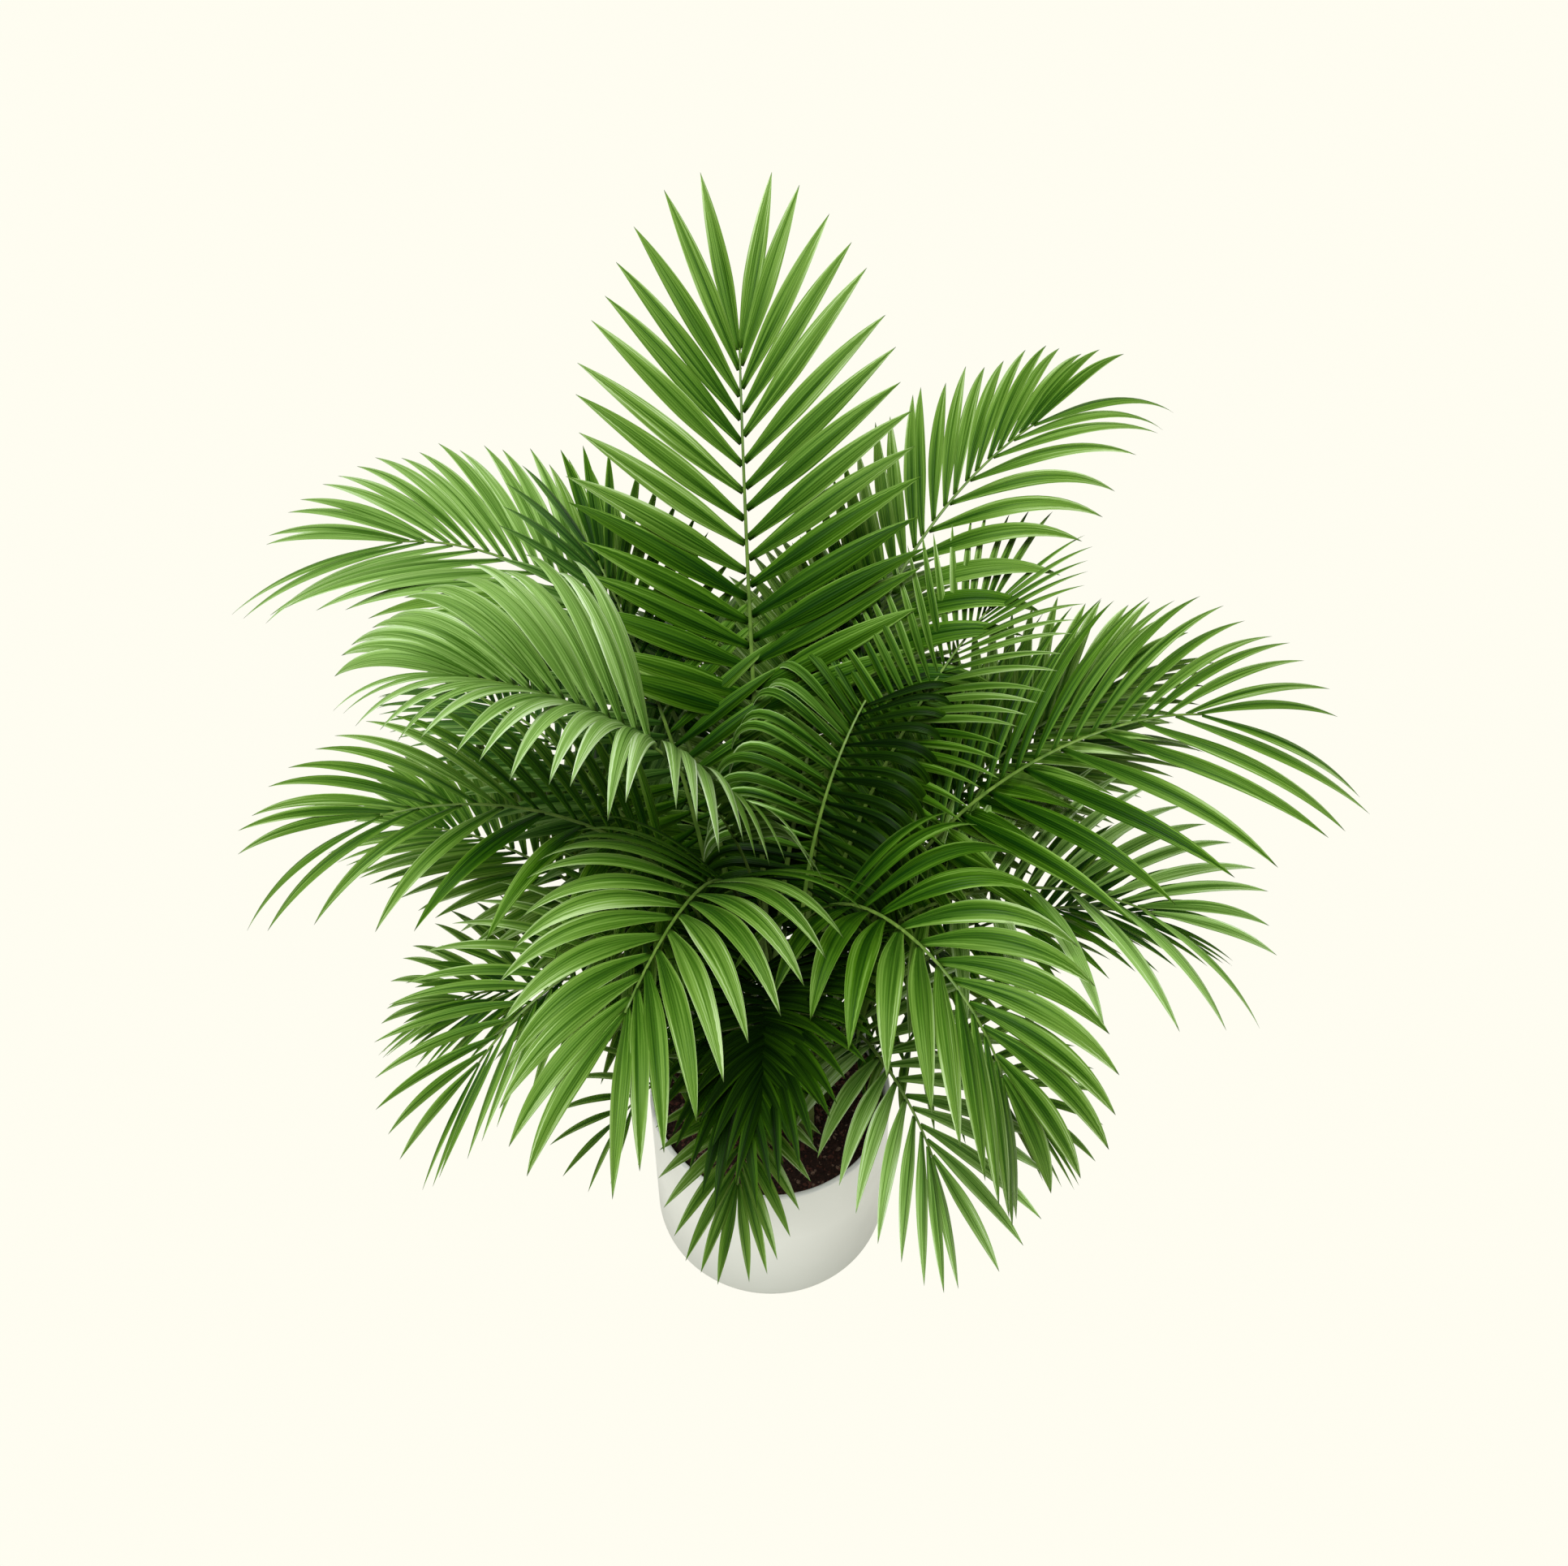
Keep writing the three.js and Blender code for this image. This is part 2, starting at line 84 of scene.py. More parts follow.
cameraLook = {
    "aim": Vector((17.2, 0, 280)) * mm,   # a point on the pot's rim circle
    "down": 52,                           # degrees below level
    "distance": 2735 * mm,
    "rise": 384 * mm,                     # how far the picture's middle lies above the aim
    "lens": 50.31,
    "pictureWidth": 36,                   # millimetres, as the lens
}


def makeCamera():
    angle = math.radians(cameraLook["down"])
    ahead = Vector((0, math.cos(angle), -math.sin(angle)))
    above = Vector((0, math.sin(angle), math.cos(angle)))
    camera = bpy.data.objects.new("camera", bpy.data.cameras.new("camera"))
    camera.data.lens = cameraLook["lens"]
    camera.data.sensor_width = cameraLook["pictureWidth"]
    camera.data.sensor_fit = "HORIZONTAL"
    camera.data.clip_end = 100
    place = cameraLook["aim"] - ahead * cameraLook["distance"] + above * cameraLook["rise"]
    turn = Matrix((Vector((1, 0, 0)), above, -ahead)).transposed().to_4x4()
    camera.matrix_world = Matrix.Translation(place) @ turn
    bpy.context.scene.collection.objects.link(camera)
    bpy.context.scene.camera = camera


makeCamera()
print("camera placed")


# studio: a pale lit floor, an even sky and a broad soft light from above

studioLook = {
    "floorSize": 24,                      # metres
    "floorGlow": (1, 0.984, 0.880, 1),    # the floor is a pale light table
    "skyColour": (1, 1, 1, 1),
    "skyStrength": 0.32,
    "keyStrength": 7.6,
    "keySpread": 34,                      # degrees across, for soft shadows
    "keyTilt": (15, -6, 0),               # degrees from straight above
}


def makeStudio():
    bm = bmesh.new()
    bmesh.ops.create_grid(bm, x_segments=1, y_segments=1, size=studioLook["floorSize"] / 2)
    floor = bpy.data.objects.new("floor", meshFromBmesh("floor", bm, smooth=False))
    bpy.context.scene.collection.objects.link(floor)
    paper = bpy.data.materials.new("floorPaper")
    paper.use_nodes = True
    shader = paper.node_tree.nodes["Principled BSDF"]
    shader.inputs["Base Color"].default_value = (0, 0, 0, 1)
    shader.inputs["Roughness"].default_value = 1
    shader.inputs["Specular IOR Level"].default_value = 0
    shader.inputs["Emission Color"].default_value = studioLook["floorGlow"]
    shader.inputs["Emission Strength"].default_value = 1
    floor.data.materials.append(paper)
    sky = bpy.data.worlds.new("sky")
    sky.use_nodes = True
    sky.node_tree.nodes["Background"].inputs["Color"].default_value = studioLook["skyColour"]
    sky.node_tree.nodes["Background"].inputs["Strength"].default_value = studioLook["skyStrength"]
    bpy.context.scene.world = sky
    key = bpy.data.objects.new("keyLight", bpy.data.lights.new("keyLight", "SUN"))
    key.data.energy = studioLook["keyStrength"]
    key.data.angle = math.radians(studioLook["keySpread"])
    key.rotation_euler = fromDegrees(*studioLook["keyTilt"])
    bpy.context.scene.collection.objects.link(key)
    bpy.context.scene.view_settings.view_transform = "Standard"


makeStudio()
print("floor and light made")


# materials: noise and colour nodes on the usual shader

class MaterialMaker:
    # starts a material and adds nodes to it by kind
    def __init__(self, name):
        self.material = bpy.data.materials.new(name)
        self.material.use_nodes = True
        self.nodes = self.material.node_tree.nodes
        self.shader = self.nodes["Principled BSDF"]

    def node(self, kind, **values):
        made = self.nodes.new("ShaderNode" + kind)
        for key, value in values.items():
            setattr(made, key, value)
        return made

    def link(self, source, target):
        self.material.node_tree.links.new(source, target)

    def fill(self, **values):
        for key, value in values.items():
            self.shader.inputs[key.replace("_", " ")].default_value = value

    def math(self, operation, a, b=None):
        made = self.node("Math", operation=operation)
        for socket, value in zip(made.inputs, (a, b)):
            if value is None:
                continue
            if isinstance(value, (int, float)):
                socket.default_value = value
            else:
                self.link(value, socket)
        return made.outputs[0]

    def feed(self, name, value):
        self.link(value, self.shader.inputs[name])

    def mixColour(self, share, first, second):
        made = self.node("Mix", data_type="RGBA")
        self.link(share, made.inputs[0])
        for socket, colour in ((made.inputs[6], first), (made.inputs[7], second)):
            if isinstance(colour, tuple):
                socket.default_value = (*colour, 1)
            else:
                self.link(colour, socket)
        return made.outputs[2]

    def noiseOn(self, coordinates, scale, detail=2.0, roughness=0.5, stretch=None):
        grain = self.node("TexNoise")
        grain.inputs["Scale"].default_value = scale
        grain.inputs["Detail"].default_value = detail
        grain.inputs["Roughness"].default_value = roughness
        if stretch:
            mapping = self.node("Mapping")
            mapping.inputs["Scale"].default_value = stretch
            self.link(coordinates, mapping.inputs["Vector"])
            coordinates = mapping.outputs[0]
        self.link(coordinates, grain.inputs["Vector"])
        return grain.outputs["Fac"]

    def remap(self, value, low, high, first, last):
        made = self.node("MapRange")
        self.link(value, made.inputs["Value"])
        for key, amount in (("From Min", low), ("From Max", high), ("To Min", first), ("To Max", last)):
            made.inputs[key].default_value = amount
        return made.outputs[0]

    def bump(self, height, strength, depth):
        made = self.node("Bump")
        made.inputs["Strength"].default_value = strength
        made.inputs["Distance"].default_value = depth
        self.link(height, made.inputs["Height"])
        self.feed("Normal", made.outputs[0])


# pot: a spun cylinder with a rounded foot and a thin soft rim

potLook = {
    "radius": 150 * mm,
    "height": 280 * mm,
    "wall": 7 * mm,
    "floor": 9 * mm,
    "footRound": 22 * mm,
    "rimRound": 2.5 * mm,
    "sides": 144,
    "wallCuts": 11,                       # across the long faces, for even shading
    "shades": ((0.74, 0.76, 0.70), (0.77, 0.785, 0.73)),
    # painted shade: the glaze greys towards the foot, standing in for the shade near the floor
    "paintedFootShade": (0.44, 0.46, 0.41),
    "paintedFootShadeTop": 170 * mm,             # how high up the wall the painted shade fades out
    "cloudScale": 5,
    "smudgeScale": 30,
    "rippleScale": 60,
    "ripple": 0.05,
    "rippleDepth": 0.6 * mm,
    "roughness": (0.30, 0.40),
    "coat": 0.05,
}


def potGlaze():
    look = potLook
    maker = MaterialMaker("potGlaze")
    place = maker.node("TexCoord").outputs["Object"]
    height = maker.node("SeparateXYZ")
    maker.link(place, height.inputs[0])
    glazed = maker.mixColour(maker.noiseOn(place, look["cloudScale"]), *look["shades"])
    # painted shade, darkening the wall towards its foot
    paintedShadeShare = maker.remap(height.outputs[2], 0, look["paintedFootShadeTop"], 1, 0)
    maker.feed("Base Color", maker.mixColour(paintedShadeShare, glazed, look["paintedFootShade"]))
    smudge = maker.noiseOn(place, look["smudgeScale"])
    maker.feed("Roughness", maker.remap(smudge, 0.3, 0.7, *look["roughness"]))
    ripple = maker.noiseOn(place, look["rippleScale"], detail=1)
    maker.bump(ripple, look["ripple"], look["rippleDepth"])
    maker.fill(Coat_Weight=look["coat"], Coat_Roughness=0.3, Specular_IOR_Level=0.2)
    return maker.material


def ringEdges(bm, radius, height):
    def onRing(vert):
        away = abs(math.hypot(vert.co.x, vert.co.y) - radius)
        return abs(vert.co.z - height) < 1e-5 and away < 1e-4
    return [edge for edge in bm.edges if all(onRing(vert) for vert in edge.verts)]


def roundEdges(bm, edges, offset, segments):
    bmesh.ops.bevel(
        bm, geom=edges, offset=offset, offset_type="OFFSET", affect="EDGES",
        segments=segments, profile=0.5, material=-1,
    )


def spinProfile(bm, profile, sides):
    verts = [bm.verts.new((x, 0, z)) for x, z in profile]
    edges = [bm.edges.new(pair) for pair in zip(verts, verts[1:])]
    bmesh.ops.spin(
        bm, geom=verts + edges, cent=(0, 0, 0), axis=(0, 0, 1), angle=2 * math.pi,
        steps=sides, use_merge=True, use_normal_flip=False, use_duplicate=False,
    )
    bmesh.ops.remove_doubles(bm, verts=bm.verts, dist=1e-6)
    bmesh.ops.recalc_face_normals(bm, faces=bm.faces)


def makePot():
    look = potLook
    inner = look["radius"] - look["wall"]
    bm = bmesh.new()
    profile = [
        (0, 0), (look["radius"], 0), (look["radius"], look["height"]),
        (inner, look["height"]), (inner, look["floor"]), (0, look["floor"]),
    ]
    spinProfile(bm, profile, look["sides"])
    roundEdges(bm, ringEdges(bm, look["radius"], 0), look["footRound"], 10)
    rim = ringEdges(bm, look["radius"], look["height"]) + ringEdges(bm, inner, look["height"])
    roundEdges(bm, rim, look["rimRound"], 4)
    tall = []
    for edge in bm.edges:
        low, high = edge.verts
        if abs(low.co.z - high.co.z) > look["height"] / 2:
            tall.append(edge)
    bmesh.ops.subdivide_edges(bm, edges=tall, cuts=look["wallCuts"], use_grid_fill=True)
    addPiece("potShell", meshFromBmesh("potShell", bm), [potGlaze()], ["pot"])


makePot()
print("pot spun")


# soil: a low crumbly dome with loose grains of bark and mix on it

soilLook = {
    "radius": 142.2 * mm,
    "bottom": 9.3 * mm,
    "top": 256 * mm,
    "crown": 6 * mm,            # how much the middle stands above the edge
    "lumps": 2.2 * mm,
    "lumpScale": 55,
    "pitScale": 190,
    "rings": 44,
    "sides": 180,
    "shades": ((0.010, 0.005, 0.003), (0.060, 0.026, 0.017)),
    "crumbScale": 420,
}

grainLook = {
    "seed": 7,
    "count": 3600,
    "sizes": (1.3 * mm, 3.6 * mm),
    "smallness": 2.2,           # higher gives more of the small sizes
    "reach": 0.985,             # share of the soil's radius
    "rise": 0.25,               # share of a grain's size that its middle stands proud
    "unevenness": 0.22,
    "squeeze": ((0.6, 1.5), (0.6, 1.1), (0.45, 0.9)),
    "tilt": 0.6,
    "crumbScale": 300,
    "shades": {
        "grainDark": ((0.014, 0.007, 0.005), (0.05, 0.022, 0.015)),
        "grainRed": ((0.06, 0.02, 0.013), (0.16, 0.06, 0.04)),
        "grainTan": ((0.12, 0.07, 0.045), (0.28, 0.19, 0.13)),
    },
    "mix": (0, 0, 0, 1, 1, 2),  # half dark, a third red, the rest tan
}


crumbLook = {
    "contrast": (0.38, 0.66),   # noise between these runs from the dark shade to the light one
    "finer": 1.7,               # scale of the relief, against that of the colour
    "relief": 0.9,
    "reliefDepth": 3 * mm,
    "roughness": 0.92,
}


def soilCrumb(name, shades, scale):
    look = crumbLook
    maker = MaterialMaker(name)
    place = maker.node("TexCoord").outputs["Object"]
    crumb = maker.noiseOn(place, scale, detail=6, roughness=0.7)
    maker.feed("Base Color", maker.mixColour(maker.remap(crumb, *look["contrast"], 0, 1), *shades))
    relief = maker.noiseOn(place, scale * look["finer"], detail=6, roughness=0.75)
    maker.bump(relief, look["relief"], look["reliefDepth"])
    maker.fill(Roughness=look["roughness"], Specular_IOR_Level=0.25)
    return maker.material


def soilHeightAt(x, y):
    look = soilLook
    share = math.hypot(x, y) / look["radius"]
    lump = noise.fractal(Vector((x, y, 0)) * look["lumpScale"], 1, 2, 4)
    lump += 0.5 * noise.noise(Vector((x, y, 0.4)) * look["pitScale"])
    edge = 1 - smoothStep(0.93, 1, share)   # no lumps against the pot's wall
    return look["top"] - look["crown"] * share ** 2 + look["lumps"] * lump * edge


def makeSoil():
    look = soilLook
    bm = bmesh.new()
    profile = [(0, look["bottom"]), (look["radius"], look["bottom"])]
    for i in range(look["rings"] + 1):
        profile.append((look["radius"] * (1 - i / look["rings"]), look["top"]))
    spinProfile(bm, profile, look["sides"])
    for vert in bm.verts:
        if vert.co.z > look["top"] - 1e-5:
            vert.co.z = soilHeightAt(vert.co.x, vert.co.y)
    crumbs = soilCrumb("soilCrumb", look["shades"], look["crumbScale"])
    addPiece("soilBed", meshFromBmesh("soilBed", bm), [crumbs], ["soil"])


def makeGrains():
    look = grainLook
    seeded = random.Random(look["seed"])
    bm = bmesh.new()
    bmesh.ops.create_icosphere(bm, subdivisions=1, radius=1)
    bm.verts.ensure_lookup_table()
    shape = np.array([vert.co for vert in bm.verts])
    corners = np.array([[vert.index for vert in face.verts] for face in bm.faces])
    bm.free()
    points, faces, tints = [], [], []
    for i in range(look["count"]):
        reach = soilLook["radius"] * math.sqrt(seeded.random()) * look["reach"]
        bearing = seeded.uniform(0, 2 * math.pi)
        x, y = reach * math.cos(bearing), reach * math.sin(bearing)
        size = blendOf(*look["sizes"], seeded.random() ** look["smallness"])
        squeeze = np.array([seeded.uniform(*ends) for ends in look["squeeze"]])
        rough = 1 + look["unevenness"] * np.array([[seeded.uniform(-1, 1)] for _ in shape])
        turn = Matrix.Rotation(seeded.uniform(0, 6.28), 3, "Z")
        turn = turn @ Matrix.Rotation(seeded.uniform(-look["tilt"], look["tilt"]), 3, "X")
        grain = (shape * rough * squeeze * size) @ np.array(turn).T
        points.append(grain + np.array([x, y, soilHeightAt(x, y) + look["rise"] * size]))
        faces.append(corners + len(shape) * i)
        tints += [seeded.choice(look["mix"])] * len(corners)
    mesh = bpy.data.meshes.new("soilGrains")
    mesh.from_pydata(np.vstack(points).tolist(), [], np.vstack(faces).tolist())
    mesh.polygons.foreach_set("material_index", tints)
    materials = [soilCrumb(name, look["shades"][name], look["crumbScale"]) for name in look["shades"]]
    addPiece("soilGrains", mesh, materials)


makeSoil()
makeGrains()
print("soil and grains laid")


# canes: ringed green stems, joined in one piece

caneLook = {
    "seed": 19,
    "footRadius": 11.5,         # lengths are in millimetres here
    "topRadius": 9,
    "foot": 258.3,              # how high the canes start
    "sides": 20,
    "ringStep": 3.5,            # between rows of points
    "slimming": 0.96,           # how thick the stem is between scars, as a share
    "scarSpacing": 27,
    "scarHeight": 0.7,
    "scarWidth": 0.07,          # share of the spacing, as the groove's
    "grooveWidth": 0.035,
    "grooveDepth": 0.9,         # share of the scar's height
    "shades": ((0.035, 0.06, 0.010), (0.13, 0.17, 0.04)),
    "streakScale": 90,
}

# x, y and the height of each cane's top, in millimetres
canes = {
    "cane_back": (0, 48, 425),
    "cane_back_right": (44, 40, 425),
    "cane_back_left": (-44, 46, 470),
    "cane_middle_left": (-24, 2, 430),
    "cane_left": (-58, -8, 395),
    "cane_front_left": (-42, -42, 370),
    "cane_middle_right": (26, -6, 430),
    "cane_right": (64, 6, 405),
    "cane_front_right": (44, -46, 375),
    "cane_front": (-8, -56, 335),
}


stemLook = {
    "stretch": (1, 1, 0.08),    # draws the streaks out up the stem
    "blotchScale": 26,
    "roughness": (0.38, 0.55),
    "relief": 0.35,
    "reliefDepth": 0.8 * mm,
}


def stemSkin(name, shades, streakScale):
    look = stemLook
    maker = MaterialMaker(name)
    place = maker.node("TexCoord").outputs["Object"]
    streak = maker.noiseOn(place, streakScale, detail=4, stretch=look["stretch"])
    blotch = maker.noiseOn(place, look["blotchScale"], detail=3)
    share = maker.math(
        "MULTIPLY", maker.remap(streak, 0.3, 0.7, 0, 1), maker.remap(blotch, 0.25, 0.7, 0.3, 1),
    )
    maker.feed("Base Color", maker.mixColour(share, *shades))
    maker.feed("Roughness", maker.remap(blotch, 0.3, 0.7, *look["roughness"]))
    maker.bump(streak, look["relief"], look["reliefDepth"])
    maker.fill(Specular_IOR_Level=0.2)
    return maker.material


def caneRadiusAt(cane, height):
    share = (height - caneLook["foot"]) / (canes[cane][2] - caneLook["foot"])
    return blendOf(caneLook["footRadius"], caneLook["topRadius"], share)


def scarAt(height, offset):
    # a raised ring with a finer groove above it
    look = caneLook
    phase = ((height + offset) / look["scarSpacing"]) % 1
    swell = math.exp(-((phase - 0.5) / look["scarWidth"]) ** 2)
    groove = math.exp(-((phase - 0.6) / look["grooveWidth"]) ** 2)
    return look["scarHeight"] * (swell - look["grooveDepth"] * groove)


def growCane(bm, cane, seeded):
    x, y, top = canes[cane]
    offset = seeded.uniform(0, caneLook["scarSpacing"])
    rows = round((top - caneLook["foot"]) / caneLook["ringStep"])
    made = bmesh.ops.create_circle(
        bm, cap_ends=False, radius=1, segments=caneLook["sides"],
        matrix=Matrix.Translation((x * mm, y * mm, caneLook["foot"] * mm)),
    )
    ring = made["verts"]
    edges = list({edge for vert in ring for edge in vert.link_edges})
    bmesh.ops.contextual_create(bm, geom=edges)
    for row in range(rows + 1):
        height = blendOf(caneLook["foot"], top, row / rows)
        if row:
            made = bmesh.ops.extrude_edge_only(bm, edges=edges)["geom"]
            ring = [part for part in made if isinstance(part, bmesh.types.BMVert)]
            edges = [part for part in made if isinstance(part, bmesh.types.BMEdge)]
            edges = [edge for edge in edges if all(vert in ring for vert in edge.verts)]
        radius = caneRadiusAt(cane, height) * caneLook["slimming"] + scarAt(height, offset)
        for vert in ring:
            way = Vector((vert.co.x - x * mm, vert.co.y - y * mm, 0)).normalized()
            vert.co = Vector((x, y, height)) * mm + way * radius * mm
    bmesh.ops.contextual_create(bm, geom=edges)


def makeCanes():
    seeded = random.Random(caneLook["seed"])
    bm = bmesh.new()
    for cane in canes:
        growCane(bm, cane, seeded)
    bmesh.ops.recalc_face_normals(bm, faces=bm.faces)
    skin = stemSkin("caneSkin", caneLook["shades"], caneLook["streakScale"])
    addPiece("caneStems", meshFromBmesh("caneStems", bm), [skin], list(canes))


makeCanes()
print("canes grown")


# fronds: the same growth rule as the solids, with the full number of thin leaflets

# what a frond takes where it gives no value of its own
usualFrond = {
    "swing": 0,                 # degrees that the rib turns sideways by its tip
    "bend": 1.6,                # higher makes the rib fall later
    "raise": 25,                # degrees that leaflets stand above the rib's own plane
    "droop": 0.7,
    "hanging": 1.8,             # higher makes a leaflet droop nearer its tip
    "curl": 0.25,               # how far a leaflet turns towards the frond's tip
    "wide": 66,                 # degrees between the rib and a leaflet low on it
    "narrow": 11,               # and at the frond's tip
    "closing": 5,               # higher closes the leaflets nearer the tip
    "opening": 16,              # how much wider still the lowest ones stand
    "tapering": 0,              # how much shorter the last leaflets are
    "oneSided": 0,              # share of the leafy part without right-hand leaflets
    "spacing": 19,              # millimetres between pairs
    "width": 22,                # millimetres across a full-sized leaflet
    "tint": "full",
    "shaded": 0.22,             # share of the leafy part, near the crown's heart, in the darker tint as painted shade
    "shadedSide": 0,            # 1 or -1 puts the right or left side in it, as painted shade
    "sparseSide": 0,            # 1 or -1 thins that side out, as sparseLook says
}

frondLook = {
    "seed": 5,
    "steps": 48,                # straight bits that make up a rib's curve
    "crowding": 1.08,           # higher crowds the pairs towards the tip
    "lean": 14,                 # degrees that leaflets close up along the rib
    "clearance": 0.3,           # millimetres between a stalk and its cane
    "footWidth": 9,
    "footHeight": 6,
    "tipWidth": 2.4,
    "tipHeight": 2.0,
    "thinning": 0.8,            # lower thins the rib nearer its foot
    "groove": 0.72,             # height of the rib's upper face, as a share
    "midribRows": 46,
    "midribSides": 10,
    "shades": ((0.035, 0.075, 0.008), (0.095, 0.155, 0.024)),
    "streakScale": 120,
}

leafletLook = {
    "rows": 18,
    "fullLength": 200,          # shorter leaflets are narrower too
    "rootWidth": 0.22,          # share of the full width
    "widestAt": 0.42,           # share of the length
    "pointShape": 1.9,          # higher keeps the blade wide for longer
    "pointWidth": 0.012,
    "tipNarrowing": 0.28,       # how much narrower the leaflets at the frond's tip are
    "foldHeight": 3.8,          # how far the fold stands above the margins
    "flattening": 0.5,          # how much of that is lost by the point
    "thickness": 0.45,
    "thinning": 0.6,            # how much of that is lost by the point
    "seat": (0.36, 0.3),        # where a leaflet is rooted, in rib widths out and heights up
    "stagger": 0.16,            # shares of the spacing, ahead on the right and back on the left
    "placeSpread": 0.12,        # from here on, seeded unevenness; a share of the spacing
    "turnSpread": 1.6,          # degrees
    "riseSpread": 2.56,         # degrees
    "twist": 8,                 # degrees
    "lengthSpread": 0.03,
    "droopSpread": 0.15,
}

# the leaflets on a frond's sparse side are fewer, larger and hang more
sparseLook = {"width": 1.4, "length": 1.12, "droop": 1.8, "turn": 10}
evenLook = {"width": 1, "length": 1, "droop": 1, "turn": 0}

